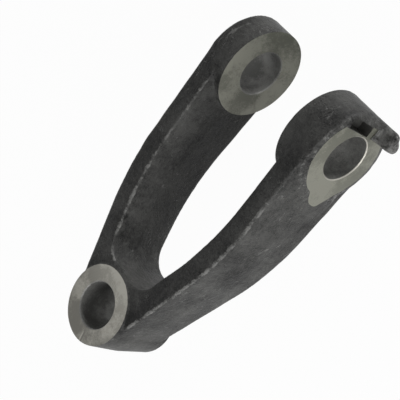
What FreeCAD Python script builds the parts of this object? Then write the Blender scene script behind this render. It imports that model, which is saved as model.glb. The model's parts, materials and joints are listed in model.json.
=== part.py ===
import FreeCAD, Part
import math
import os
import Sketcher
from FreeCAD import Vector

# Forged fork yoke. X runs across the fork, Y from the single bore towards the two eyes,
# Z is the thickness direction. The origin is the middle of the single bore.

os.makedirs("parts", exist_ok=True)
doc = FreeCAD.newDocument("yoke")

# Driving dimensions, in millimetres and degrees.
sizes = {
    "centreDistance": 146.0,    # single bore axis to eye axis
    "pinBore": 25.4,            # all three bores, for one-inch pins
    "gap": 52.0,                # between the machined inner faces of the eyes
    "lugEyeThick": 21.0,        # eye that carries the locking lug
    "plainEyeThick": 22.0,
    "eyeRadius": 25.6,
    "eyeSet": 0.5,              # the round of the eyes sits this far behind their bores
    "bossRadius": 21.7,         # round boss at the single bore
    "bossHalf": 20.4,           # half its length, to the machined ring
    "armTaper": 2.85,           # each broad side, in degrees, from the eyes down to the boss
    "lugArmSet": 1.0,           # each arm stands this far inside its eye's outer face
    "plainArmSet": 4.0,         # on the parting plane
    "cheekTip": 27.5,           # the lug arm swells: its ridge meets the milled face here
    "cheekLean": 5.0,
    "armEnd": 9.0,              # the arm profiles stop this far short of the eye axis
    "armThick": 13.8,
    "armLean": 18.0,            # lower part of each arm leans out
    "bendRadius": 139.0,        # outer radius where it turns straight
    "crotchFloor": 23.5,
    "crotchRadius": 13.0,
    "draft": 2.5,               # both ways from the parting plane
    "lugFaceRim": 5.1,          # forged rim left round the spot face of the lug eye
    "lugRimLean": 14.0,         # and how far it falls away
    "plainFaceRim": 8.6,
    "plainRimLean": 26.0,
    "rimRadius": 2.0,           # rounded outer rim of both eyes
    "lugLand": 1.3,             # metal left between the eye bore and the wall of lug and slot
    "lugHigh": 10.0,            # lug above the spot face
    "lugTop": 4.5,              # lug starts this far below the middle plane
    "lugUnder": 8.6,            # and ends this far above the lowest point of the eye
    "slotWide": 5.5,
    "slotDeep": 5.0,
    "slotEnd": 2.5,
    "boreChamfer": 0.5,
    "edgeRadius": 2.5,          # forged outer edges
    "lugRadius": 0.8,
    "spare": 6.0,               # stock past an outline before it is trimmed
}
sheet = doc.addObject("Spreadsheet::Sheet", "sizes")
for row, (alias, value) in enumerate(sizes.items(), start=1):
    sheet.set(f"A{row}", alias)
    sheet.set(f"B{row}", str(value))
    sheet.setAlias(f"B{row}", alias)
doc.recompute()


def size(alias):
    return float(sheet.get(alias))


# The round of the eyes and the wall beside the bore, as numbers and as expressions.
def eyeCentre():
    return size("centreDistance") - size("eyeSet")


def lugWall():
    return size("centreDistance") + size("pinBore") / 2 + size("lugLand")


eyeCentreIs = "sizes.centreDistance - sizes.eyeSet"
lugWallIs = "sizes.centreDistance + sizes.pinBore / 2 + sizes.lugLand"


body = doc.addObject("PartDesign::Body", "yoke")
body.Label = "yoke"


def originPlane(role):
    return next(f for f in body.Origin.OriginFeatures if f.Role == role)


def newSketch(name, role, shift=None):
    """A sketch on one of the body's planes, moved along an axis by an expression."""
    sketch = body.newObject("Sketcher::SketchObject", name)
    sketch.AttachmentSupport = [(originPlane(role), "")]
    sketch.MapMode = "FlatFace"
    if shift:
        sketch.setExpression(f"AttachmentOffset.Base.{shift[0]}", shift[1])
    return sketch


def bind(sketch, constraint, expression):
    index = sketch.addConstraint(constraint)
    sketch.setExpression(f"Constraints[{index}]", expression)
    return index


def line(sketch, start, end):
    return sketch.addGeometry(Part.LineSegment(Vector(*start, 0), Vector(*end, 0)), False)


def arc(sketch, centre, radius, first, last):
    circle = Part.Circle(Vector(*centre, 0), Vector(0, 0, 1), radius)
    return sketch.addGeometry(Part.ArcOfCircle(circle, first, last), False)


def rectangle(sketch, low, high, names):
    """Corners at low and high; names are the expressions of left, right, bottom and top."""
    corners = [(low[0], low[1]), (high[0], low[1]), (high[0], high[1]), (low[0], high[1])]
    sides = [line(sketch, corners[i], corners[(i + 1) % 4]) for i in range(4)]
    for i in range(4):
        sketch.addConstraint(Sketcher.Constraint("Coincident", sides[i], 2, sides[(i + 1) % 4], 1))
    for i in (0, 2):
        sketch.addConstraint(Sketcher.Constraint("Horizontal", sides[i]))
        sketch.addConstraint(Sketcher.Constraint("Vertical", sides[i + 1]))
    bind(sketch, Sketcher.Constraint("DistanceX", -1, 1, sides[0], 1, low[0]), names[0])
    bind(sketch, Sketcher.Constraint("DistanceX", -1, 1, sides[1], 1, high[0]), names[1])
    bind(sketch, Sketcher.Constraint("DistanceY", -1, 1, sides[0], 1, low[1]), names[2])
    bind(sketch, Sketcher.Constraint("DistanceY", -1, 1, sides[2], 1, high[1]), names[3])


def circle(name, role, shift, radius, expression):
    """A sketch with one circle about its own origin."""
    sketch = newSketch(name, role, shift)
    index = sketch.addGeometry(Part.Circle(Vector(0, 0, 0), Vector(0, 0, 1), radius), False)
    sketch.addConstraint(Sketcher.Constraint("Coincident", index, 3, -1, 1))
    bind(sketch, Sketcher.Constraint("Radius", index, radius), expression)
    return sketch


def forkPlan():
    """Plan of the fork: two arms that lean out, bend straight, and meet in a round crotch."""
    sketch = newSketch("forkPlan", "XY_Plane")
    lean = math.radians(size("armLean"))
    boss, bend, thick = size("bossRadius"), size("bendRadius"), size("armThick")
    floor, inside = size("crotchFloor"), size("crotchRadius")
    cos, sin = math.cos(lean), math.sin(lean)
    cornerX = (boss - thick - inside + (floor + inside) * sin) / cos
    swell = math.tan(math.radians(size("cheekLean")))
    swellStart = size("centreDistance") - size("cheekTip") - size("lugArmSet") / swell
    crotch = line(sketch, (cornerX, floor), (-cornerX, floor))
    ring = arc(sketch, (0, 0), boss, math.pi + lean, 2 * math.pi - lean)
    sketch.addConstraint(Sketcher.Constraint("Coincident", ring, 3, -1, 1))
    bind(sketch, Sketcher.Constraint("Radius", ring, boss), "sizes.bossRadius")
    for side, eye in ((1, "lug"), (-1, "plain")):
        outer = size("gap") / 2 + size(f"{eye}EyeThick") - size(f"{eye}ArmSet")
        outerIs = f"(sizes.gap / 2 + sizes.{eye}EyeThick - sizes.{eye}ArmSet)"
        top = size("centreDistance") - size("armEnd")
        bendY = ((outer - bend) * cos + bend - boss) / sin
        centre = (side * (outer - bend), bendY)
        tangent = (boss * cos * side, -boss * sin)
        bendLow = (side * (outer - bend + bend * cos), bendY - bend * sin)
        innerLow = (side * (outer - bend + (bend - thick) * cos), bendY - (bend - thick) * sin)
        corner = (side * cornerX, floor + inside)
        cornerEnd = (side * (cornerX + inside * cos), floor + inside - inside * sin)
        turn = (-lean, 0) if side > 0 else (math.pi, math.pi + lean)
        fall = (-math.pi / 2, -lean) if side > 0 else (math.pi + lean, 1.5 * math.pi)
        straightEnd = swellStart if side > 0 else top
        outerEnd = outer + (top - swellStart) * swell if side > 0 else outer
        outerLean = line(sketch, tangent, bendLow)
        outerBend = arc(sketch, centre, bend, *turn)
        straight = line(sketch, (side * outer, bendY), (side * outer, straightEnd))
        last = straight
        if side > 0:
            last = line(sketch, (outer, swellStart), (outerEnd, top))
            sketch.addConstraint(Sketcher.Constraint("Coincident", straight, 2, last, 1))
            bind(sketch, Sketcher.Constraint("Angle", last, 1, -2, 1, math.radians(size("cheekLean"))),
                 "sizes.cheekLean")
            bind(sketch, Sketcher.Constraint("DistanceY", -1, 1, last, 1, swellStart),
                 "sizes.centreDistance - sizes.cheekTip - sizes.lugArmSet / tan(sizes.cheekLean * 1deg)")
        cap = line(sketch, (side * outerEnd, top), (side * (outer - thick), top))
        inner = line(sketch, (side * (outer - thick), top), (side * (outer - thick), bendY))
        innerBend = arc(sketch, centre, bend - thick, *turn)
        innerLean = line(sketch, innerLow, cornerEnd)
        round = arc(sketch, corner, inside, *fall)
        near, far = (1, 2) if side > 0 else (2, 1)      # arc ends, lower one first
        for first, firstEnd, second, secondEnd in (
                (outerLean, 2, outerBend, near), (outerBend, far, straight, 1),
                (inner, 2, innerBend, far), (innerBend, near, innerLean, 1),
                (innerLean, 2, round, far), (round, near, crotch, near), (ring, far, outerLean, 1)):
            sketch.addConstraint(Sketcher.Constraint("Tangent", first, firstEnd, second, secondEnd))
        sketch.addConstraint(Sketcher.Constraint("Coincident", last, 2, cap, 1))
        sketch.addConstraint(Sketcher.Constraint("Coincident", cap, 2, inner, 1))
        sketch.addConstraint(Sketcher.Constraint("Coincident", outerBend, 3, innerBend, 3))
        sketch.addConstraint(Sketcher.Constraint("Vertical", straight))
        sketch.addConstraint(Sketcher.Constraint("Vertical", inner))
        sketch.addConstraint(Sketcher.Constraint("Horizontal", cap))
        sketch.addConstraint(Sketcher.Constraint("Parallel", outerLean, innerLean))
        sign = "" if side > 0 else "-1 * "
        bind(sketch, Sketcher.Constraint("DistanceX", -1, 1, straight, 1, side * outer),
             f"{sign}{outerIs}")
        bind(sketch, Sketcher.Constraint("DistanceX", -1, 1, inner, 1, side * (outer - thick)),
             f"{sign}({outerIs} - sizes.armThick)")
        bind(sketch, Sketcher.Constraint("DistanceY", -1, 1, inner, 1, top),
             "sizes.centreDistance - sizes.armEnd")
        bind(sketch, Sketcher.Constraint("Radius", outerBend, bend), "sizes.bendRadius")
        bind(sketch, Sketcher.Constraint("Radius", round, inside), "sizes.crotchRadius")
        bind(sketch, Sketcher.Constraint("Angle", outerLean, 1, -2, 1, side * lean), f"{sign}sizes.armLean")
    sketch.addConstraint(Sketcher.Constraint("Horizontal", crotch))
    bind(sketch, Sketcher.Constraint("DistanceY", -1, 1, crotch, 1, floor), "sizes.crotchFloor")
    return sketch


def sideTrim():
    """Everything outside the side view: round at the eyes, tapering straight to the boss."""
    sketch = newSketch("sideTrim", "YZ_Plane")
    centre, radius = eyeCentre(), size("eyeRadius")
    taper, back = math.radians(size("armTaper")), -size("bossRadius") - size("spare")
    first = math.pi / 2 + taper
    low = (centre + radius * math.cos(first), radius * math.sin(first))
    half = radius / math.cos(taper) - (centre - back) * math.tan(taper)
    eye = arc(sketch, (centre, 0), radius, -first, first)
    up = line(sketch, low, (back, half))
    end = line(sketch, (back, half), (back, -half))
    down = line(sketch, (back, -half), (low[0], -low[1]))
    sketch.addConstraint(Sketcher.Constraint("Tangent", eye, 2, up, 1))
    sketch.addConstraint(Sketcher.Constraint("Tangent", down, 2, eye, 1))
    sketch.addConstraint(Sketcher.Constraint("Coincident", up, 2, end, 1))
    sketch.addConstraint(Sketcher.Constraint("Coincident", end, 2, down, 1))
    sketch.addConstraint(Sketcher.Constraint("PointOnObject", eye, 3, -1))
    bind(sketch, Sketcher.Constraint("DistanceX", -1, 1, eye, 3, centre), eyeCentreIs)
    bind(sketch, Sketcher.Constraint("Radius", eye, radius), "sizes.eyeRadius")
    bind(sketch, Sketcher.Constraint("DistanceX", -1, 1, end, 1, back), "-sizes.bossRadius - sizes.spare")
    bind(sketch, Sketcher.Constraint("Angle", -1, 1, up, 2, taper), "sizes.armTaper")
    sketch.addConstraint(Sketcher.Constraint("Symmetric", end, 1, end, 2, -1))
    high = radius + 2 * size("spare")
    rectangle(sketch, (back - size("spare"), -high), (centre + high, high),
              ("-sizes.bossRadius - 2 * sizes.spare",
               "sizes.centreDistance + sizes.eyeRadius + 2 * sizes.spare",
               "-sizes.eyeRadius - 2 * sizes.spare", "sizes.eyeRadius + 2 * sizes.spare"))
    return sketch


def eyeProfile(eye, side):
    """Half section of an eye about its own axis, out to its flat back.

    Round the flat the forged rim leans away and is rounded into the eye's cylinder."""
    sketch = newSketch(f"{eye}EyeProfile", "XY_Plane", ("y", eyeCentreIs))
    inner, radius, turnRadius = side * size("gap") / 2, size("eyeRadius"), size("rimRadius")
    end = inner + side * size(f"{eye}EyeThick")
    flat, lean = radius - size(f"{eye}FaceRim"), math.radians(size(f"{eye}RimLean"))
    run = turnRadius * math.tan((math.pi / 2 - lean) / 2)       # the corner lies this far off
    corner = end - side * (radius - flat) * math.tan(lean)
    rimEnd = corner - side * run
    leanStart = (corner + side * run * math.sin(lean), radius - run * math.cos(lean))
    axis = line(sketch, (end, 0), (inner, 0))
    innerFace = line(sketch, (inner, 0), (inner, radius))
    rim = line(sketch, (inner, radius), (rimEnd, radius))
    span = (lean, math.pi / 2) if side > 0 else (math.pi / 2, math.pi - lean)
    turn = arc(sketch, (rimEnd, radius - turnRadius), turnRadius, *span)
    atRim, atLean = (2, 1) if side > 0 else (1, 2)
    leaning = line(sketch, leanStart, (end, flat))
    back = line(sketch, (end, flat), (end, 0))
    for first, second in ((axis, innerFace), (innerFace, rim), (leaning, back), (back, axis)):
        sketch.addConstraint(Sketcher.Constraint("Coincident", first, 2, second, 1))
    sketch.addConstraint(Sketcher.Constraint("Tangent", rim, 2, turn, atRim))
    sketch.addConstraint(Sketcher.Constraint("Tangent", turn, atLean, leaning, 1))
    sketch.addConstraint(Sketcher.Constraint("PointOnObject", axis, 1, -1))
    sketch.addConstraint(Sketcher.Constraint("PointOnObject", axis, 2, -1))
    sketch.addConstraint(Sketcher.Constraint("Vertical", innerFace))
    sketch.addConstraint(Sketcher.Constraint("Horizontal", rim))
    sketch.addConstraint(Sketcher.Constraint("Vertical", back))
    bind(sketch, Sketcher.Constraint("DistanceX", -1, 1, axis, 2, inner), f"{side} * sizes.gap / 2")
    bind(sketch, Sketcher.Constraint("DistanceX", -1, 1, axis, 1, end),
         f"{side} * (sizes.gap / 2 + sizes.{eye}EyeThick)")
    bind(sketch, Sketcher.Constraint("DistanceY", -1, 1, rim, 1, radius), "sizes.eyeRadius")
    bind(sketch, Sketcher.Constraint("DistanceY", -1, 1, back, 1, flat),
         f"sizes.eyeRadius - sizes.{eye}FaceRim")
    bind(sketch, Sketcher.Constraint("Radius", turn, turnRadius), "sizes.rimRadius")
    bind(sketch, Sketcher.Constraint("Angle", leaning, -math.pi / 2 + side * lean),
         f"{side} * sizes.{eye}RimLean - 90")
    return sketch


def lugOutline():
    """The lug seen along the eye axis: three flat sides and the eye's own radius outside."""
    sketch = newSketch("lugOutline", "YZ_Plane", ("z", "sizes.gap / 2 + sizes.lugEyeThick / 2"))
    centre, radius = eyeCentre(), size("eyeRadius")
    wall, top, bottom = lugWall(), -size("lugTop"), size("lugUnder") - radius
    outTop = (centre + math.sqrt(radius**2 - top**2), top)
    outBottom = (centre + math.sqrt(radius**2 - bottom**2), bottom)
    low = line(sketch, outBottom, (wall, bottom))
    inside = line(sketch, (wall, bottom), (wall, top))
    high = line(sketch, (wall, top), outTop)
    rim = arc(sketch, (centre, 0), radius, math.asin(bottom / radius), math.asin(top / radius))
    for first, firstEnd, second, secondEnd in ((low, 2, inside, 1), (inside, 2, high, 1),
                                               (high, 2, rim, 2), (rim, 1, low, 1)):
        sketch.addConstraint(Sketcher.Constraint("Coincident", first, firstEnd, second, secondEnd))
    sketch.addConstraint(Sketcher.Constraint("Horizontal", low))
    sketch.addConstraint(Sketcher.Constraint("Horizontal", high))
    sketch.addConstraint(Sketcher.Constraint("Vertical", inside))
    sketch.addConstraint(Sketcher.Constraint("PointOnObject", rim, 3, -1))
    bind(sketch, Sketcher.Constraint("DistanceX", -1, 1, rim, 3, centre), eyeCentreIs)
    bind(sketch, Sketcher.Constraint("Radius", rim, radius), "sizes.eyeRadius")
    bind(sketch, Sketcher.Constraint("DistanceX", -1, 1, inside, 1, wall), lugWallIs)
    bind(sketch, Sketcher.Constraint("DistanceY", -1, 1, high, 1, top), "-sizes.lugTop")
    bind(sketch, Sketcher.Constraint("DistanceY", -1, 1, low, 1, bottom), "sizes.lugUnder - sizes.eyeRadius")
    return sketch


def pad(name, sketch, **settings):
    feature = body.newObject("PartDesign::Pad", name)
    feature.Profile = sketch
    for key, value in settings.items():
        if isinstance(value, str) and key.startswith("Length") or key.startswith("TaperAngle"):
            feature.setExpression(key, value)
        else:
            setattr(feature, key, value)
    doc.recompute()


def pocket(name, sketch, kind, symmetric=False, reverse=False, depth=None):
    """A cut that must take material away: the volume before and after is compared."""
    before = body.Shape.Volume
    feature = body.newObject("PartDesign::Pocket", name)
    feature.Profile = sketch
    feature.Type = kind
    feature.SideType = "Symmetric" if symmetric else "One side"
    feature.Reversed = reverse
    if depth:
        feature.setExpression("Length", depth)
    doc.recompute()
    if not body.Shape.Volume < before - 1:
        raise RuntimeError(f"{name} cuts nothing")


def revolve(name, sketch):
    feature = body.newObject("PartDesign::Revolution", name)
    feature.Profile = sketch
    feature.ReferenceAxis = (sketch, ["H_Axis"])
    feature.Angle = 360
    doc.recompute()


def edgeNames(test):
    """Names of the edges for which test(edge, faces that meet at it) holds."""
    shape = body.Shape
    names = []
    for number, edge in enumerate(shape.Edges, start=1):
        faces = shape.ancestorsOfType(edge, Part.Face)
        if len(faces) == 2 and test(edge, faces):
            names.append(f"Edge{number}")
    return names


def flatSide(face):
    """A flat top or bottom of the forging, parallel to the parting plane or nearly."""
    return face.Surface.TypeId == "Part::GeomPlane" and abs(face.normalAt(0, 0).z) > 0.9


def boreRim(edge, faces):
    """Only the rims of the bores are circles of the bore's own radius."""
    curve = edge.Curve
    return curve.TypeId == "Part::GeomCircle" and abs(curve.Radius - size("pinBore") / 2) < 1e-3


def fillet(name, edges, radius):
    before = body.Tip
    feature = body.newObject("PartDesign::Fillet", name)
    feature.Base = (before, edges)
    feature.setExpression("Radius", radius)
    doc.recompute()


# Forging: drafted both ways from the parting plane, trimmed, then rounded along its edges.
stock = "sizes.eyeRadius + sizes.spare"
pad("fork", forkPlan(), SideType="Two sides", Length=stock, Length2=stock,
    TaperAngle="-sizes.draft", TaperAngle2="-sizes.draft")
pocket("sideTrimming", sideTrim(), "ThroughAll", symmetric=True)
endCap = size("centreDistance") - 2 * size("armEnd")    # the flat ends above this stay sharp
fillet("armEdges", edgeNames(lambda edge, faces: flatSide(faces[0]) != flatSide(faces[1])
                             and edge.CenterOfMass.y < endCap),
       "sizes.edgeRadius")
bossTop = size("bossHalf") * math.tan(math.radians(size("draft")))
boss = circle("bossOutline", "XY_Plane", None, size("bossRadius") + bossTop,
              "sizes.bossRadius + sizes.bossHalf * tan(sizes.draft * 1deg)")
pad("boss", boss, SideType="Two sides", Length="sizes.bossHalf", Length2="sizes.bossHalf",
    TaperAngle="-sizes.draft", TaperAngle2="-sizes.draft")

face = size("gap") / 2 + size("lugEyeThick")
revolve("lugEye", eyeProfile("lug", 1))
revolve("plainEye", eyeProfile("plain", -1))

# The spot face runs on across the swell of the lug arm.
milling = newSketch("millingOutline", "XY_Plane")
top = size("centreDistance")
rectangle(milling, (face, top - 2 * size("eyeRadius")), (face + size("spare"), top),
          ("sizes.gap / 2 + sizes.lugEyeThick", "sizes.gap / 2 + sizes.lugEyeThick + sizes.spare",
           "sizes.centreDistance - 2 * sizes.eyeRadius", "sizes.centreDistance"))
pocket("faceMilling", milling, "ThroughAll", symmetric=True)

pad("lug", lugOutline(), SideType="One side", Length="sizes.lugEyeThick / 2 + sizes.lugHigh")
lugFace, near = face + size("lugHigh"), size("lugRadius") / 10
fillet("lugEdges", edgeNames(lambda edge, faces: edge.CenterOfMass.x > lugFace - near
                             or edge.CenterOfMass.x > (face + lugFace) / 2 - size("lugHigh") / 4
                             and edge.CenterOfMass.y < lugWall() + near),
       "sizes.lugRadius")

slot = newSketch("slotOutline", "YZ_Plane", ("z", "sizes.gap / 2 + sizes.lugEyeThick + sizes.spare"))
rectangle(slot, (lugWall(), -size("slotEnd")), (lugWall() + size("slotWide"), size("eyeRadius")),
          (lugWallIs, lugWallIs + " + sizes.slotWide", "-sizes.slotEnd", "sizes.eyeRadius"))
pocket("slot", slot, "Length", depth="sizes.slotDeep + sizes.spare")

bore = "sizes.pinBore / 2"
pocket("eyeBore", circle("eyeBoreOutline", "YZ_Plane", ("x", "sizes.centreDistance"),
                         size("pinBore") / 2, bore), "ThroughAll", symmetric=True)
pocket("bossBore", circle("bossBoreOutline", "XY_Plane", None, size("pinBore") / 2, bore),
       "ThroughAll", symmetric=True)

chamfer = body.newObject("PartDesign::Chamfer", "boreEdges")
chamfer.Base = (doc.getObject("bossBore"), edgeNames(boreRim))
chamfer.setExpression("Size", "sizes.boreChamfer")
doc.recompute()

for item in doc.Objects:
    if "Invalid" in item.State or "Error" in item.State:
        raise RuntimeError(f"{item.Name} failed: {item.State}")
    shape = getattr(item, "Shape", None)
    if item.isDerivedFrom("PartDesign::Feature") and (shape.isNull() or not shape.isValid()):
        raise RuntimeError(f"{item.Name} has a bad shape")
if len(body.Shape.Solids) != 1:
    raise RuntimeError("the yoke is not one solid")
body.Shape.exportStep("parts/yoke.step")
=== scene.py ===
import json
import math
import bmesh
import bpy
from mathutils import Euler, Matrix, Vector, noise


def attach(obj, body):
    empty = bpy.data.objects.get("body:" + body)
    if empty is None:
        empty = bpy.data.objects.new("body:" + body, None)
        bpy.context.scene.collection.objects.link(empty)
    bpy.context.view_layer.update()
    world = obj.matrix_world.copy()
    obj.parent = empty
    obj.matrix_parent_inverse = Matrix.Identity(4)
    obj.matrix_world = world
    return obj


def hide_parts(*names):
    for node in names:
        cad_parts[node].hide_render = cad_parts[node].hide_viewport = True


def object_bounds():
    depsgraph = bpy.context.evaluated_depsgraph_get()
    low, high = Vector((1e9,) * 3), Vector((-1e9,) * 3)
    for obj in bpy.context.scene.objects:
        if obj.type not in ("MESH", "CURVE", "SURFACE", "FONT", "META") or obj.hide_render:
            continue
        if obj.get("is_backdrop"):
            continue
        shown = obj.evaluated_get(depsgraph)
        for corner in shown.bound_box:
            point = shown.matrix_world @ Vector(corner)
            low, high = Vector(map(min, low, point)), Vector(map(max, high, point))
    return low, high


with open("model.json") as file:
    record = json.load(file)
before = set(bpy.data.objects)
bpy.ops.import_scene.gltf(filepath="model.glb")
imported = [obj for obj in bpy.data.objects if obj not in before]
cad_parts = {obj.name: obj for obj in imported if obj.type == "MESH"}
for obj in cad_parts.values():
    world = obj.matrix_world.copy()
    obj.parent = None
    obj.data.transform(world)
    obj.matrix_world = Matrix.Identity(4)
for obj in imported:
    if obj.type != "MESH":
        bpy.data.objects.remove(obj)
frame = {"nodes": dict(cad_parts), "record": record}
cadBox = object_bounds()
print("frame loaded:", ", ".join(frame["nodes"]))

mm = 0.001
mounts = {mount["name"]: mount for mount in frame["record"]["mounts"]}


def faceAt(name):
    # where a machined face lies along its own normal
    position, axis = mounts[name]["pos_m"], mounts[name]["axis"]
    return next(p for p, a in zip(position, axis) if abs(a) > 0.5)


# The bores and machined faces come from the frame's mounts.
machined = {
    "eyeY": mounts["eye_bore"]["pos_m"][1],
    "boreRadius": mounts["eye_bore"]["dims"]["r_mm"] * mm,
    "gapHalf": faceAt("lug_eye_inner_face"),
    "lugFace": faceAt("lug_eye_outer_face"),
    "plainBack": faceAt("plain_eye_outer_face"),
    "bossHalf": faceAt("boss_face_upper"),
    "boreChamfer": 0.5 * mm,
    "lugWall": 14 * mm,         # straight wall beside the lug, from the eye axis
    "slotWide": 5.8 * mm,
    "slotDeep": 7 * mm,
    "slotEnds": (-1.8 * mm, 15 * mm),
    "slotRadius": 2.8 * mm,
    "slotStock": 5 * mm,        # the slot's cutter stands this far out of the face
    "footHigh": 2 * mm,         # metal cleared at the foot of the lug
    "gapStart": 20 * mm,        # the eye faces are milled from here, above the foot of the lug face
    "plainStart": 10 * mm,
    "bossEnd": 24 * mm,         # the boss faces are milled up to here
    "past": 0.9 * mm,           # cutters run on by this much
    "far": 80 * mm,             # beyond the whole forging
}
# Material slots of the machined surfaces; slot 0 is the forged skin.
finishes = {"eyes": 1, "boss": 2, "bores": 3, "slot": 4}

# The forging before it is machined.
forging = {
    "bossRadius": 21.7 * mm,
    "eyeRadius": 25.6 * mm,
    "eyeSet": 0.5 * mm,         # eye outline sits this far behind its bore
    "lugArmOuter": 46 * mm,
    "plainArmOuter": 44 * mm,
    "cheekTip": 27.5 * mm,      # the lug arm's swell reaches the milled face here
    "cheekLean": math.radians(5),
    "cheekFall": math.radians(6),   # and falls away to both sides of its ridge
    "cheekHalf": 3.5 * mm,
    "cheekShift": -3 * mm,
    "cheekSink": 6 * mm,        # the ridge's block: into the arm, along it and across it
    "cheekLong": 25 * mm,
    "cheekWide": 18 * mm,
    "cheekEnd": 8 * mm,
    "armEnd": 1.5 * mm,
    "armThick": 13.8 * mm,
    "armLean": math.radians(18),
    "bendRadius": 139 * mm,
    "crotchFloor": 23.5 * mm,
    "crotchRadius": 13 * mm,
    "draft": math.radians(2.5),
    "taper": math.radians(2.85),
    "lugFaceRadius": 21.9 * mm,
    "lugRimLean": math.radians(14),
    "plainFaceRadius": 16 * mm,
    "plainRimLean": math.radians(30),
    "lugHigh": 10 * mm,
    "lugTop": -5 * mm,
    "lugDraft": 3 * mm,         # its upper side leans in by this much
    "lugBottom": -17 * mm,
    "lugRadius": 2.4 * mm,
    "edgeRadius": 1.3 * mm,
    "stock": 3 * mm,            # metal left on for machining
    "faceStock": 0.5 * mm,
    "bendSteps": 16,
    "roundSteps": 128,
    "voxel": 0.85 * mm,
    "smoothRounds": 3,
    "rimRounds": 30,            # extra rounding of the rim beside the slot
    "rimDeep": 6 * mm,
    "rimStart": 2 * mm,
    "rimPast": 3 * mm,
    "waveHeight": 0.12 * mm,    # unevenness of the die-struck skin
    "waveSize": 11 * mm,
    "waveFine": 2.7,            # a second, finer wave and its share
    "waveShare": 0.4,
    "waveShift": 0.7,
    "inset": 0.02 * mm,         # the skin stays this far inside the CAD shape's box
    "cornerReach": 0.05 * mm,   # a vertex that stands out by this much is fully worn
}


def newPiece(name, bm):
    mesh = bpy.data.meshes.new(name)
    bm.to_mesh(mesh)
    bm.free()
    piece = bpy.data.objects.new(name, mesh)
    bpy.context.scene.collection.objects.link(piece)
    return piece


def outwards(bm):
    bmesh.ops.remove_doubles(bm, verts=bm.verts, dist=1e-6)
    bmesh.ops.recalc_face_normals(bm, faces=bm.faces)


def polygon(bm, points):
    return bm.faces.new([bm.verts.new(point) for point in points])


def spinProfile(points, centre, axis):
    # a closed solid from a half section; points are (along the axis, radius)
    along = Vector(axis)
    across = Vector((0, 1, 0))
    bm = bmesh.new()
    verts = [bm.verts.new(Vector(centre) + along * a + across * r) for a, r in points]
    edges = [bm.edges.new(pair) for pair in zip(verts, verts[1:])]
    bmesh.ops.spin(bm, geom=verts + edges, cent=centre, axis=axis, angle=2 * math.pi,
                   steps=forging["roundSteps"], use_merge=True)
    outwards(bm)
    return bm


def block(low, high):
    bm = bmesh.new()
    bmesh.ops.create_cube(bm, size=1)
    middle = (Vector(low) + Vector(high)) / 2
    size = Vector(high) - Vector(low)
    placing = Matrix.Translation(middle) @ Matrix.Diagonal(size).to_4x4()
    bmesh.ops.transform(bm, verts=bm.verts, matrix=placing)
    return bm


def forkArms(f, eyeY):
    # plan outline with sharp corners, which are then bent round
    tanLean, cosLean, sinLean = math.tan(f["armLean"]), math.cos(f["armLean"]), math.sin(f["armLean"])
    footX, footY = f["bossRadius"] * cosLean, -f["bossRadius"] * sinLean
    top = eyeY - f["armEnd"]
    innerFoot = footX - f["armThick"] / cosLean
    sides = []
    for side, outer in ((1, f["lugArmOuter"]), (-1, f["plainArmOuter"])):
        bendY = footY + (outer - footX) / tanLean
        inner = outer - f["armThick"]
        points = [(footX, footY), (outer, bendY), (outer, top), (inner, top),
                  (inner, footY + (inner - innerFoot) / tanLean),
                  (innerFoot + (f["crotchFloor"] - footY) * tanLean, f["crotchFloor"])]
        sides.append([(side * x, y, 0) for x, y in points])
    bm = bmesh.new()
    face = polygon(bm, sides[0] + sides[1][::-1])
    cap = bmesh.ops.extrude_face_region(bm, geom=[face])["geom"]
    bmesh.ops.translate(bm, verts=[v for v in cap if isinstance(v, bmesh.types.BMVert)], vec=(0, 0, 1e-4))
    bmesh.ops.recalc_face_normals(bm, faces=bm.faces)
    bend = f["bendRadius"] * math.tan(f["armLean"] / 2)
    fall = f["crotchRadius"] * math.tan((math.pi / 2 - f["armLean"]) / 2)
    for offset, low, high in ((fall, f["crotchFloor"] - 1e-4, f["crotchFloor"] + 1e-4),
                              (bend, f["crotchFloor"] + 1e-2, (eyeY + f["crotchFloor"]) / 2)):
        upright = [e for e in bm.edges if abs((e.verts[0].co - e.verts[1].co).z) > 5e-5
                   and low < e.verts[0].co.y < high]
        bmesh.ops.bevel(bm, geom=upright, offset=offset, affect="EDGES", segments=f["bendSteps"],
                        profile=0.5, material=-1)
    height = f["eyeRadius"] + f["stock"]
    caps = [face for face in bm.faces if abs(face.normal.z) > 0.9]
    for cap in caps:                                    # draft both ways from the parting plane
        bmesh.ops.inset_region(bm, faces=[cap], thickness=height * math.tan(f["draft"]), depth=height,
                               use_even_offset=True, use_boundary=True)
    for side in (1, -1):                                # the broad taper, then its rounded edges
        normal = Vector((0, -math.sin(f["taper"]), side * math.cos(f["taper"])))
        point = Vector((0, eyeY, 0)) + normal * f["eyeRadius"]
        cut = bmesh.ops.bisect_plane(bm, geom=bm.verts[:] + bm.edges[:] + bm.faces[:], dist=1e-7,
                                     plane_co=point, plane_no=normal, clear_outer=True)["geom_cut"]
        rim = [e for e in cut if isinstance(e, bmesh.types.BMEdge)]
        bmesh.ops.contextual_create(bm, geom=rim)
        bmesh.ops.bevel(bm, geom=[e for e in rim if e.is_valid], offset=f["edgeRadius"], affect="EDGES",
                        segments=4, profile=0.5, material=-1)
    outwards(bm)
    return bm


def eyeBlank(f, eyeY, inner, back, side, eye):
    # stock on both faces; the forged rim leans away from the outer one
    lean, flat = math.tan(f[eye + "RimLean"]), f[eye + "FaceRadius"]
    deep = (f["eyeRadius"] - flat) * lean
    raised = f["faceStock"]
    points = [(inner - side * f["stock"], 0), (inner - side * f["stock"], f["eyeRadius"]),
              (back - side * deep, f["eyeRadius"]), (back + side * raised, flat - raised / lean),
              (back + side * raised, 0)]
    return spinProfile(points, (0, eyeY - f["eyeSet"], 0), (1, 0, 0))


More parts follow.
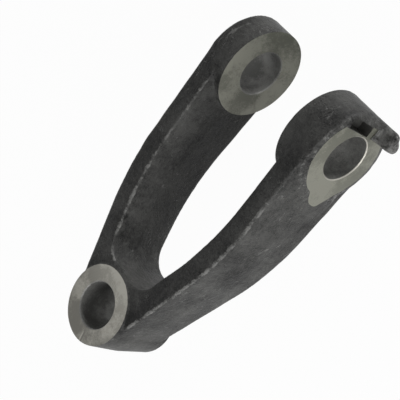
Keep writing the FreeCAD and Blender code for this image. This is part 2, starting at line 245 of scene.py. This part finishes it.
def cheekBlank(f, eyeY, face):
    # ridge that rises along the lug arm, past the level of the milled face
    tip = Vector((face, eyeY - f["cheekTip"], f["cheekShift"]))
    bm = block((f["lugArmOuter"] - f["cheekSink"], tip.y - f["cheekLong"], -f["cheekWide"]),
               (face + f["stock"], eyeY - f["cheekEnd"], f["cheekWide"]))
    rise, fall = math.tan(f["cheekLean"]), math.tan(f["cheekFall"])
    for side in (-1, 0, 1):
        bisected = bmesh.ops.bisect_plane(bm, geom=bm.verts[:] + bm.edges[:] + bm.faces[:], dist=1e-7,
                                          plane_co=tip + Vector((0, 0, side * f["cheekHalf"])),
                                          plane_no=(1, -rise, side * fall), clear_outer=True)["geom_cut"]
        bmesh.ops.contextual_create(bm, geom=[e for e in bisected if isinstance(e, bmesh.types.BMEdge)])
    outwards(bm)
    return bm


def lugBlank(f, eyeY, wall, face):
    # seen along the eye axis: the eye's own radius outside, straight sides inside
    bm = bmesh.new()
    centre = Vector((face / 2, eyeY - f["eyeSet"], 0))
    first, last = math.asin(f["lugBottom"] / f["eyeRadius"]), math.asin(f["lugTop"] / f["eyeRadius"])
    start = bm.verts.new(centre + f["eyeRadius"] * Vector((0, math.cos(first), math.sin(first))))
    bmesh.ops.spin(bm, geom=[start], cent=centre, axis=(1, 0, 0), angle=last - first, steps=8)
    bm.verts.ensure_lookup_table()
    wallTop = bm.verts.new((centre.x, wall, f["lugTop"]))
    wallBottom = bm.verts.new((centre.x, wall, f["lugBottom"]))
    arc = sorted((v for v in bm.verts if v not in (wallTop, wallBottom)), key=lambda v: v.co.z)
    side = bm.faces.new([wallBottom] + arc + [wallTop])
    lifted = bmesh.ops.extrude_face_region(bm, geom=[side])["geom"]
    lifted = [v for v in lifted if isinstance(v, bmesh.types.BMVert)]
    bmesh.ops.translate(bm, verts=lifted, vec=(face + f["lugHigh"] - centre.x, 0, 0))
    middle = (f["lugTop"] + f["lugBottom"]) / 2
    bmesh.ops.translate(bm, verts=[v for v in lifted if v.co.z > middle], vec=(0, 0, -f["lugDraft"]))
    outwards(bm)
    sharp = [e for e in bm.edges if e.calc_face_angle(0) > math.radians(40)]
    bmesh.ops.bevel(bm, geom=sharp, offset=f["lugRadius"], affect="EDGES", segments=3, profile=0.5,
                    material=-1)
    return bm


def softened(bm, verts, rounds):
    for _ in range(rounds):
        bmesh.ops.smooth_vert(bm, verts=verts, factor=0.5, use_axis_x=True, use_axis_y=True, use_axis_z=True)


def joined(parts):
    whole = bmesh.new()
    for part in parts:
        mesh = bpy.data.meshes.new("part")
        part.to_mesh(mesh)
        part.free()
        whole.from_mesh(mesh)
        bpy.data.meshes.remove(mesh)
    return whole


def applied(piece):
    # the mesh that the piece's modifiers make, put in place of its own
    bpy.context.view_layer.update()
    result = bpy.data.meshes.new_from_object(piece.evaluated_get(bpy.context.evaluated_depsgraph_get()))
    piece.modifiers.clear()
    piece.data = result


def strikeForging(f, m):
    eyeY = m["eyeY"]
    boss = m["bossHalf"] + f["stock"]
    wide = f["bossRadius"] + m["bossHalf"] * math.tan(f["draft"])
    narrow = wide - boss * math.tan(f["draft"])
    bossPart = spinProfile([(-boss, 0), (-boss, narrow), (0, wide), (boss, narrow), (boss, 0)],
                           (0, 0, 0), (0, 0, 1))
    parts = [forkArms(f, eyeY), bossPart,
             eyeBlank(f, eyeY, m["gapHalf"], m["lugFace"], 1, "lug"),
             eyeBlank(f, eyeY, -m["gapHalf"], m["plainBack"], -1, "plain"),
             cheekBlank(f, eyeY, m["lugFace"]),
             lugBlank(f, eyeY, eyeY + m["lugWall"], m["lugFace"])]
    piece = newPiece("yokeForging", joined(parts))
    remesh = piece.modifiers.new("remesh", "REMESH")
    remesh.mode = "VOXEL"
    remesh.voxel_size = f["voxel"]
    remesh.adaptivity = 0
    applied(piece)
    bm = bmesh.new()
    bm.from_mesh(piece.data)
    softened(bm, bm.verts, f["smoothRounds"])
    rim = [v for v in bm.verts if v.co.x > m["lugFace"] - f["rimDeep"]
           and v.co.y > eyeY + m["lugWall"] + f["rimStart"]
           and f["lugTop"] < v.co.z < m["slotEnds"][1] + f["rimPast"]]
    softened(bm, rim, f["rimRounds"])
    bm.normal_update()
    shifts = [noise.noise(v.co / f["waveSize"])
              + f["waveShare"] * noise.noise(v.co * f["waveFine"] / f["waveSize"]) for v in bm.verts]
    for v, shift in zip(bm.verts, shifts):
        v.co += v.normal * (shift + f["waveShift"]) * f["waveHeight"]
        for axis, (low, high) in enumerate(zip(*cadBox)):
            v.co[axis] = min(max(v.co[axis], low + f["inset"]), high - f["inset"])
    bm.to_mesh(piece.data)
    bm.free()
    return piece


def boreCutter(m, centre, axis, mouths):
    # mouths: pairs (face, direction out of the metal), in order along the axis
    radius, chamfer, past = m["boreRadius"], m["boreChamfer"], m["past"]
    points = []
    for face, out in mouths:
        inside, outside = (face - out * chamfer, radius), (face + out * past, radius + chamfer + past)
        points += [outside, inside] if out < 0 else [inside, outside]
    points = [(points[0][0], 0)] + points + [(points[-1][0], 0)]
    bm = spinProfile(points, centre, axis)
    for face in bm.faces:                               # the chamfer at the spot face gets the boss's paler metal, a painted highlight
        slanted = 0.3 < abs(face.normal.dot(Vector(axis))) < 0.9
        paintedHighlight = slanted and face.calc_center_median().x > m["gapHalf"] + m["boreRadius"]
        face.material_index = finishes["boss" if paintedHighlight else "bores"]
    return bm


def slotCutter(m, wall):
    bm = block((m["lugFace"] - m["slotDeep"], wall, m["slotEnds"][0]),
               (m["lugFace"] + m["slotStock"], wall + m["slotWide"], m["slotEnds"][1]))
    corners = [e for e in bm.edges if abs(e.verts[0].co.x - e.verts[1].co.x) > 1 * mm
               and e.verts[0].co.y > wall + 1 * mm]
    bmesh.ops.bevel(bm, geom=corners, offset=m["slotRadius"], affect="EDGES", segments=5, profile=0.5,
                    material=-1)
    return bm


def machineForging(piece, f, m):
    eyeY, far, past = m["eyeY"], m["far"], m["past"]
    wall = eyeY + m["lugWall"]
    armFoot = eyeY - 2 * f["eyeRadius"]
    eyeMouths = ((m["plainBack"], -1), (-m["gapHalf"], 1), (m["gapHalf"], -1), (m["lugFace"], 1))
    bossMouths = ((-m["bossHalf"], -1), (m["bossHalf"], 1))
    # name, finish (the bores carry their own) and shape
    cutters = [
        ("eyeFaces", "eyes", block((-m["gapHalf"], armFoot + m["gapStart"], -far),
                                   (m["gapHalf"], eyeY + far, far))),
        ("lugFace", "eyes", block((m["lugFace"], armFoot, -far), (far, wall, far))),
        ("plainBack", "eyes", block((-far, armFoot + m["plainStart"], -far),
                                    (m["plainBack"], eyeY + far, far))),
        ("lugFoot", "eyes", block((m["lugFace"], wall - past, f["lugTop"]),
                                  (m["lugFace"] + m["footHigh"], wall + m["slotWide"],
                                   m["slotEnds"][0] + past))),
        ("bossTop", "boss", block((-far, -far, m["bossHalf"]), (far, m["bossEnd"], far))),
        ("bossBottom", "boss", block((-far, -far, -far), (far, m["bossEnd"], -m["bossHalf"]))),
        ("slot", "slot", slotCutter(m, wall)),
        ("eyeBore", None, boreCutter(m, (0, eyeY, 0), (1, 0, 0), eyeMouths)),
        ("bossBore", None, boreCutter(m, (0, 0, 0), (0, 0, 1), bossMouths)),
    ]
    for name, finish, bm in cutters:
        for face in bm.faces if finish else ():
            face.material_index = finishes[finish]
        cutter = newPiece(name, bm)
        for material in piece.data.materials:
            cutter.data.materials.append(material)
        cut = piece.modifiers.new(name, "BOOLEAN")
        cut.operation = "DIFFERENCE"
        cut.solver = "EXACT"
        cut.object = cutter
        applied(piece)
        bpy.data.objects.remove(cutter)
        print("machined:", name, len(piece.data.polygons))
    piece.data.shade_smooth()
    piece.data.set_sharp_from_angle(angle=math.radians(28))


def nodeGroup(name, inputs, outputs):
    # an empty shader group with named float, vector and colour sockets
    group = bpy.data.node_groups.new(name, "ShaderNodeTree")
    for direction, sockets in (("INPUT", inputs), ("OUTPUT", outputs)):
        for socketName, kind, value in sockets:
            socket = group.interface.new_socket(name=socketName, in_out=direction, socket_type=kind)
            if value is not None:
                socket.default_value = value
    return group, group.nodes.new("NodeGroupInput"), group.nodes.new("NodeGroupOutput")


class Tree:
    # short calls for adding and linking nodes
    def __init__(self, tree):
        self.tree = tree

    def add(self, kind, settings=None, **values):
        node = self.tree.nodes.new("ShaderNode" + kind)
        for key, value in (settings or {}).items():
            setattr(node, key, value)
        for key, value in values.items():
            self.feed(node.inputs[key.replace("_", " ")], value)
        return node

    def feed(self, socket, value):
        if isinstance(value, bpy.types.NodeSocket):
            self.tree.links.new(value, socket)
        else:
            socket.default_value = value

    def math(self, operation, first, second=0.0, clamp=False):
        node = self.tree.nodes.new("ShaderNodeMath")
        node.operation = operation
        node.use_clamp = clamp
        self.feed(node.inputs[0], first)
        self.feed(node.inputs[1], second)
        return node.outputs[0]

    def vector(self, operation, first, second=None):
        node = self.add("VectorMath", {"operation": operation})
        self.feed(node.inputs[0], first)
        if second is not None:
            self.feed(node.inputs[1], second)
        return node.outputs["Value" if operation in ("LENGTH", "DOT_PRODUCT") else "Vector"]

    def ramp(self, value, low, high):
        # 0 below low, 1 above high, smooth between
        node = self.tree.nodes.new("ShaderNodeMapRange")
        node.interpolation_type = "SMOOTHSTEP"
        self.feed(node.inputs["Value"], value)
        self.feed(node.inputs["From Min"], low)
        self.feed(node.inputs["From Max"], high)
        return node.outputs["Result"]

    def mix(self, factor, first, second):
        node = self.tree.nodes.new("ShaderNodeMix")
        node.data_type = "RGBA"
        self.feed(node.inputs["Factor"], factor)
        self.feed(node.inputs[6], first)
        self.feed(node.inputs[7], second)
        return node.outputs[2]

    def noise(self, vector, scale, detail=2.0, roughness=0.5):
        node = self.add("TexNoise", None, Vector=vector, Scale=scale, Detail=detail, Roughness=roughness)
        return node.outputs["Fac"]


# Scales of the patterns in the skin, per metre, and their weights.
skinPattern = {
    "broad": 55.0,
    "fine": 380.0,
    "grain": 1300.0,
    "pits": 520.0,
    "pitAreas": 160.0,
    "dust": 800.0,
    "speckle": 0.8,
    "contrast": 1.9,
    "pitShade": 0.25,
}


def skinGroup():
    # struck and scaled steel: soft mottling, grain and sparse pits
    group, inner, outer = nodeGroup(
        "forgedSkin",
        [("Vector", "NodeSocketVector", None), ("Grain", "NodeSocketFloat", 1.0),
         ("Patches", "NodeSocketFloat", 1.0), ("Pits", "NodeSocketFloat", 1.0)],
        [("Tone", "NodeSocketFloat", None), ("Height", "NodeSocketFloat", None),
         ("Dust", "NodeSocketFloat", None)])
    t, v = Tree(group), skinPattern
    place = inner.outputs["Vector"]
    broad = t.noise(place, v["broad"], 3.0, 0.55)
    fine = t.noise(place, v["fine"], 4.0, 0.65)
    grain = t.noise(place, v["grain"], 3.0, 0.6)
    patches = t.math("MULTIPLY", t.math("SUBTRACT", broad, 0.5), inner.outputs["Patches"])
    speckle = t.math("ADD", t.math("MULTIPLY", t.math("SUBTRACT", fine, 0.5), v["speckle"]),
                     t.math("MULTIPLY", t.math("SUBTRACT", grain, 0.5), v["speckle"]))
    tone = t.math("ADD", t.math("MULTIPLY", t.math("ADD", patches, speckle), v["contrast"]), 0.5, True)
    pits = t.add("TexVoronoi", {"feature": "F1"}, Vector=place, Scale=v["pits"])
    pitted = t.ramp(t.noise(place, v["pitAreas"]), 0.46, 0.6)
    pit = t.math("MULTIPLY", t.math("SUBTRACT", 1.0, t.ramp(pits.outputs["Distance"], 0.08, 0.3)),
                 t.math("MULTIPLY", inner.outputs["Pits"], pitted))
    rough = t.math("MULTIPLY", t.math("ADD", t.math("MULTIPLY", fine, 1.2), t.math("MULTIPLY", grain, 0.6)),
                   inner.outputs["Grain"])
    dust = t.math("MULTIPLY", t.ramp(t.noise(place, v["dust"], 3.0, 0.7), 0.6, 0.72),
                  t.ramp(broad, 0.5, 0.64))
    t.feed(outer.inputs["Tone"], t.math("SUBTRACT", tone, t.math("MULTIPLY", pit, v["pitShade"]), True))
    t.feed(outer.inputs["Height"], t.math("SUBTRACT", rough, pit))
    t.feed(outer.inputs["Dust"], dust)
    return group


def scratchGroup():
    # sparse thin scratches in one direction, set by Turn
    group, inner, outer = nodeGroup(
        "scratches",
        [("Vector", "NodeSocketVector", None), ("Turn", "NodeSocketVector", None),
         ("Size", "NodeSocketFloat", 60.0), ("Cover", "NodeSocketFloat", 0.35)],
        [("Mask", "NodeSocketFloat", None)])
    t = Tree(group)
    turned = t.add("VectorRotate", {"rotation_type": "EULER_XYZ"}, Vector=inner.outputs["Vector"],
                   Rotation=inner.outputs["Turn"])
    drawn = t.vector("MULTIPLY", turned.outputs[0], (7.0, 0.55, 7.0))      # long along Y
    lines = t.noise(drawn, inner.outputs["Size"], 1.0, 0.5)
    off = t.math("ABSOLUTE", t.math("SUBTRACT", lines, 0.5))
    line = t.math("SUBTRACT", 1.0, t.ramp(off, 0.002, 0.012))
    where = t.noise(inner.outputs["Vector"], 90.0, 2.0, 0.6)
    edge = t.math("SUBTRACT", 1.0, inner.outputs["Cover"])
    gate = t.ramp(where, edge, t.math("ADD", edge, 0.06))
    t.feed(outer.inputs["Mask"], t.math("MULTIPLY", line, gate))
    return group


def wearAndHighlightGroup():
    # bare metal where the piece's "edge" attribute is high, broken up by noise: edge wear, with painted
    # light and painted highlights on the lug, rim and arm corners
    group, inner, outer = nodeGroup(
        "edgeWearAndHighlight",
        [("Vector", "NodeSocketVector", None), ("Size", "NodeSocketFloat", 300.0)],
        [("Mask", "NodeSocketFloat", None)])
    t = Tree(group)
    edge = t.add("Attribute", {"attribute_name": "edge"}).outputs["Fac"]
    broken = t.noise(inner.outputs["Vector"], inner.outputs["Size"], 4.0, 0.75)
    wornAndLit = t.math("ADD", edge, t.math("MULTIPLY", t.math("SUBTRACT", broken, 0.56), 2.4))
    t.feed(outer.inputs["Mask"], t.math("MULTIPLY", t.ramp(wornAndLit, 0.6, 1.15), t.ramp(edge, 0.25, 0.8)))
    return group


def toolMarkGroup():
    # rings left by turning or boring, about the X or the Z axis through a centre
    group, inner, outer = nodeGroup(
        "toolMarks",
        [("Vector", "NodeSocketVector", None), ("Centre", "NodeSocketVector", None),
         ("Across", "NodeSocketVector", None), ("Pitch", "NodeSocketFloat", 2500.0)],
        [("Rings", "NodeSocketFloat", None)])
    t = Tree(group)
    offset = t.vector("SUBTRACT", inner.outputs["Vector"], inner.outputs["Centre"])
    radius = t.vector("LENGTH", t.vector("MULTIPLY", offset, inner.outputs["Across"]))
    wobble = t.math("MULTIPLY", t.noise(inner.outputs["Vector"], 60.0), 0.0012)
    rings = t.add("TexNoise", {"noise_dimensions": "1D"}, Scale=1.0, Detail=3.0, Roughness=0.7,
                  W=t.math("MULTIPLY", t.math("ADD", radius, wobble), inner.outputs["Pitch"]))
    t.feed(outer.inputs["Rings"], rings.outputs["Fac"])
    return group


def placed(t, group, **values):
    node = t.tree.nodes.new("ShaderNodeGroup")
    node.node_tree = group
    for key, value in values.items():
        t.feed(node.inputs[key], value)
    return node


def newMaterial(name, metallic, specular):
    material = bpy.data.materials.new(name)
    material.use_nodes = True
    t = Tree(material.node_tree)
    shader = material.node_tree.nodes["Principled BSDF"]
    shader.inputs["Metallic"].default_value = metallic
    shader.inputs["Specular IOR Level"].default_value = specular
    place = t.add("TexCoord").outputs["Object"]
    return material, t, shader, place


def bumped(t, shader, height, strength, distance):
    bump = t.add("Bump", None, Strength=strength, Distance=distance, Height=height)
    t.feed(shader.inputs["Normal"], bump.outputs["Normal"])


scaledSteel = {
    "dark": (0.007, 0.007, 0.0067, 1),
    "light": (0.068, 0.068, 0.065, 1),
    "bare": (0.26, 0.26, 0.25, 1),
    "dust": (0.24, 0.24, 0.22, 1),
    "roughness": 0.42,
    "wearAndHighlight": 0.5,
    "specular": 0.16,
    "sheen": 0.06,              # dry scale looks paler at a glancing angle
    "scratchTurns": ((0, 0, math.radians(-12)), (math.radians(35), 0, math.radians(8))),
}

turnedSteel = {
    # The boss colours are paler than the eye colours: painted light on the boss's turned rings, which face
    # up and down.
    "bossLight": (0.37, 0.36, 0.32, 1),
    "bossDark": (0.17, 0.165, 0.145, 1),
    "eyeLight": (0.20, 0.20, 0.167, 1),
    "eyeDark": (0.085, 0.087, 0.07, 1),
    "boreLight": (0.20, 0.20, 0.19, 1),
    "boreDark": (0.09, 0.09, 0.085, 1),
    # The slot colours are darker than the other turned steel, partly painted shade in the deep narrow slot
    # and partly dark oxide there.
    "slotLight": (0.11, 0.11, 0.104, 1),
    "slotDark": (0.05, 0.05, 0.046, 1),
    "roughness": 0.48,
    "gloss": 0.18,              # paler metal is smoother by up to this much
}

# Short radial line low on the boss ring, left where the flash was, with its shaded side.
flashMark = {
    "turn": math.radians(-14),
    "line": (0.25 * mm, 0.6 * mm),      # half widths, full and fading
    "shade": (0.3 * mm, 0.8 * mm),
    "shadeAt": 1.1 * mm,
    "below": (-17 * mm, -15.5 * mm),
}


def forgedMaterial(skin, wearAndHighlight, scratch):
    v = scaledSteel
    material, t, shader, place = newMaterial("forgedSteel", 0.0, v["specular"])
    shader.inputs["Sheen Weight"].default_value = v["sheen"]
    shader.inputs["Sheen Roughness"].default_value = 0.3
    scale = placed(t, skin, Vector=place, Grain=1.0, Patches=1.3, Pits=1.0)
    wornAndLit = placed(t, wearAndHighlight, Vector=place, Size=230.0).outputs["Mask"]
    first, second = [placed(t, scratch, Vector=place, Turn=turn, Size=50.0, Cover=0.42).outputs["Mask"]
                     for turn in v["scratchTurns"]]
    scratched = t.math("MAXIMUM", first, second)
    colour = t.mix(scale.outputs["Tone"], v["dark"], v["light"])
    colour = t.mix(t.math("MULTIPLY", scale.outputs["Dust"], 0.3), colour, v["dust"])
    colour = t.mix(t.math("MULTIPLY", scratched, 0.4), colour, v["bare"])
    # bare metal on worn edges, and painted light and painted highlights on the lug, rim and arm corners
    colour = t.mix(t.math("MULTIPLY", wornAndLit, v["wearAndHighlight"]), colour, v["bare"])
    t.feed(shader.inputs["Base Color"], colour)
    rough = t.math("ADD", t.math("MULTIPLY", scale.outputs["Tone"], 0.12), v["roughness"])
    t.feed(shader.inputs["Roughness"], t.math("SUBTRACT", rough, t.math("MULTIPLY", wornAndLit, 0.12)))
    bumped(t, shader, t.math("SUBTRACT", scale.outputs["Height"], t.math("MULTIPLY", scratched, 0.3)),
           0.8, 0.0004)
    return material


def flashTone(t, tone, place, v):
    turned = t.add("VectorRotate", {"rotation_type": "Z_AXIS"}, Vector=place, Angle=v["turn"])
    x, y, _ = t.add("SeparateXYZ", None, Vector=turned.outputs[0]).outputs
    line = t.math("SUBTRACT", 1.0, t.ramp(t.math("ABSOLUTE", x), *v["line"]))
    beside = t.math("ABSOLUTE", t.math("SUBTRACT", x, v["shadeAt"]))
    shade = t.math("SUBTRACT", 1.0, t.ramp(beside, *v["shade"]))
    low = t.math("SUBTRACT", 1.0, t.ramp(y, *v["below"]))
    mark = t.math("SUBTRACT", t.math("MULTIPLY", line, 0.5), t.math("MULTIPLY", shade, 0.6))
    return t.math("ADD", tone, t.math("MULTIPLY", mark, low), True)


def turnedMaterial(skin, marks, name, look, centre, across, pitch, sweep, flash):
    # look: which colours; sweep: how the tone changes across the surface
    v = turnedSteel
    material, t, shader, place = newMaterial(name, 0.55, 0.5)
    scale = placed(t, skin, Vector=place, Grain=0.25, Patches=2.2, Pits=0.8)
    rings = placed(t, marks, Vector=place, Centre=centre, Across=across, Pitch=pitch).outputs["Rings"]
    slope = t.vector("DOT_PRODUCT", t.vector("SUBTRACT", place, centre), sweep)
    tone = t.math("ADD", t.math("MULTIPLY", scale.outputs["Tone"], 0.75), t.math("MULTIPLY", rings, 0.35))
    tone = t.math("ADD", tone, slope, True)
    if flash:
        tone = flashTone(t, tone, place, flash)
    t.feed(shader.inputs["Base Color"], t.mix(tone, v[look + "Dark"], v[look + "Light"]))
    dull = t.math("MULTIPLY", t.math("SUBTRACT", 1.0, tone), v["gloss"])
    t.feed(shader.inputs["Roughness"], t.math("ADD", dull, v["roughness"]))
    height = t.math("ADD", rings, t.math("MULTIPLY", scale.outputs["Height"], 0.25))
    bumped(t, shader, height, 0.5, 0.0001)
    return material


# Corners of the arms that face outwards on one and into the fork on the other, bared partly as wear and
# partly as a painted highlight:
# side of the fork, from x, up to y, share of wear and painted highlight.
armWearAndHighlight = [(1, 20 * mm, 110 * mm, 1.0), (-1, 10 * mm, 130 * mm, 0.8)]
wearAndHighlightZones = {
    "lugPast": 0.5 * mm,        # the lug's own corners start this far past the milled face
    "armHigh": 10 * mm,         # height of the arms' corners
    "elsewhere": 0.4,
    "rimReach": 24 * mm,        # the forged rim's extent from the eye axis and below the face
    "rimDeep": 1.6 * mm,
    "lugBare": 1 * mm,          # the lug is bared all over above this, partly as painted light
    "rimShare": 0.8,
}


# full on the lug, a share on the arm corners, less elsewhere: edge wear, partly painted light and painted
# highlight
def rubbedAndHighlit(v):
    z = wearAndHighlightZones
    if v.co.x > machined["lugFace"] + z["lugPast"] and v.co.y > machined["eyeY"]:
        return 1.0
    if v.co.z > z["armHigh"] and v.normal.x > 0.2:
        for side, start, top, share in armWearAndHighlight:
            if side * v.co.x > start and v.co.y < top:
                return share
    return z["elsewhere"]


def bareAndLit(v):
    # the lug and the rim round the spot face are bared all over, a little, partly as wear and partly as
    # painted light
    z = wearAndHighlightZones
    if v.co.y < machined["eyeY"] - z["rimReach"] or v.co.x < machined["lugFace"] - z["rimDeep"]:
        return 0.0
    if v.co.x > machined["lugFace"] + z["lugBare"]:
        return 1.0
    return z["rimShare"] if v.normal.x > 0.6 else 0.0


def markEdges(piece, reach):
    # how far each vertex stands out from its neighbours, as an attribute for the wear and the painted light
    # and highlights
    bm = bmesh.new()
    bm.from_mesh(piece.data)
    bm.normal_update()
    around = {v: [e.other_vert(v) for e in v.link_edges] for v in bm.verts}
    bulge = {}
    for v in bm.verts:
        middle = sum((other.co for other in around[v]), Vector()) / len(around[v])
        bulge[v] = (v.co - middle).dot(v.normal) / reach
    evened = {v: (bulge[v] + sum(bulge[other] for other in around[v]) / len(around[v])) / 2
              for v in bm.verts}
    values = [min(max(evened[v] * rubbedAndHighlit(v), bareAndLit(v)), 1.0) for v in bm.verts]
    bm.free()
    attribute = piece.data.attributes.new("edge", "FLOAT", "POINT")
    attribute.data.foreach_set("value", values)


def buildYoke():
    f, m = forging, machined
    yoke = strikeForging(f, m)
    print("forging struck:", len(yoke.data.polygons), "faces")
    markEdges(yoke, f["cornerReach"])
    skin, wearAndHighlight, marks = skinGroup(), wearAndHighlightGroup(), toolMarkGroup()
    eye, boss = (0, m["eyeY"], 0), (0, 0, 0)
    yoke.data.materials.append(forgedMaterial(skin, wearAndHighlight, scratchGroup()))
    # name, look, centre, plane of the rings, pitch, sweep, flash mark: in the order of finishes
    for row in (("turnedEyes", "eye", eye, (0, 1, 1), 3200.0, (4, -12, 0), None),
                ("turnedBoss", "boss", boss, (1, 1, 0), 2600.0, (8, 22, 0), flashMark),
                ("boredWalls", "bore", boss, (1, 0, 1), 2200.0, (0, 0, 0), None),
                ("slotWalls", "slot", eye, (0, 1, 1), 900.0, (0, 0, 0), None)):
        yoke.data.materials.append(turnedMaterial(skin, marks, *row))
    machineForging(yoke, f, m)
    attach(yoke, "root")
    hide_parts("yoke")


buildYoke()

# Room, lights and camera.
studio = {
    "floorSize": 3.0,
    "floorColour": (0.86, 0.86, 0.85, 1),
    "backgroundShare": 0.97,
    "worldLevel": 0.12,
    "cameraAt": (0.2843, 0.2173, 0.3813),
    "cameraTurn": (14.83, 37.85, 49.41),    # degrees about X, Y and Z
    "lens": 84.92,
    "sensorWidth": 36,
    "clipStart": 0.01,
}
# name, place, aim, size, power
lamps = [
    ("overhead", (-0.5, 0.3, 1.1), (0, 0.08, 0), 1.0, 0.8),
    ("sideFill", (1.2, -0.3, 0.1), (0, 0.08, 0), 0.9, 21.5),
    ("frontFill", (0.3, -1.1, 0.1), (0, 0.08, 0), 0.8, 6.0),
    ("rimLight", (0.1, 1.3, 0.0), (0, 0.1, 0), 0.4, 21.0),
]


def aimed(place, target):
    return (Vector(target) - Vector(place)).to_track_quat("-Z", "Y").to_euler()


def seenDirectly(t):
    # 1 for what the camera, a reflection or clear glass sees, 0 for the light that it sheds
    path = t.add("LightPath")
    return t.math("MAXIMUM", path.outputs["Is Camera Ray"],
                  t.math("MAXIMUM", path.outputs["Is Glossy Ray"], path.outputs["Is Transmission Ray"]))


def buildStudio(v):
    scene = bpy.context.scene
    low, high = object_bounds()
    bm = bmesh.new()
    bmesh.ops.create_grid(bm, x_segments=1, y_segments=1, size=v["floorSize"] / 2)
    bmesh.ops.translate(bm, verts=bm.verts, vec=(0, (low[1] + high[1]) / 2, low[2]))
    floor = newPiece("floor", bm)
    material, t, shader, _ = newMaterial("paleFloor", 0.0, 0.2)
    shader.inputs["Base Color"].default_value = v["floorColour"]
    shader.inputs["Roughness"].default_value = 0.9
    glow = t.add("Emission", None, Strength=1.0)
    blend = t.add("MixShader", None, Fac=t.math("MULTIPLY", seenDirectly(t), v["backgroundShare"]))
    t.tree.links.new(shader.outputs[0], blend.inputs[1])
    t.tree.links.new(glow.outputs[0], blend.inputs[2])
    t.tree.links.new(blend.outputs[0], material.node_tree.nodes["Material Output"].inputs["Surface"])
    floor.data.materials.append(material)
    floor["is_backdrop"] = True
    world = bpy.data.worlds.new("studioWorld")
    world.use_nodes = True
    w = Tree(world.node_tree)
    sky = world.node_tree.nodes["Background"]
    sky.inputs["Color"].default_value = (1, 1, 1, 1)
    w.feed(sky.inputs["Strength"], w.math("MAXIMUM", seenDirectly(w), v["worldLevel"]))
    scene.world = world
    for name, place, target, size, power in lamps:
        light = bpy.data.lights.new(name, "AREA")
        light.size = size
        light.energy = power
        lamp = bpy.data.objects.new(name, light)
        lamp.location = place
        lamp.rotation_euler = aimed(place, target)
        scene.collection.objects.link(lamp)
    camera = bpy.data.cameras.new("camera")
    camera.lens = v["lens"]
    camera.sensor_width = v["sensorWidth"]
    camera.clip_start = v["clipStart"]
    eye = bpy.data.objects.new("camera", camera)
    eye.location = v["cameraAt"]
    eye.rotation_euler = Euler([math.radians(angle) for angle in v["cameraTurn"]])
    scene.collection.objects.link(eye)
    scene.camera = eye
    scene.view_settings.view_transform = "Standard"


buildStudio(studio)
print("studio ready")
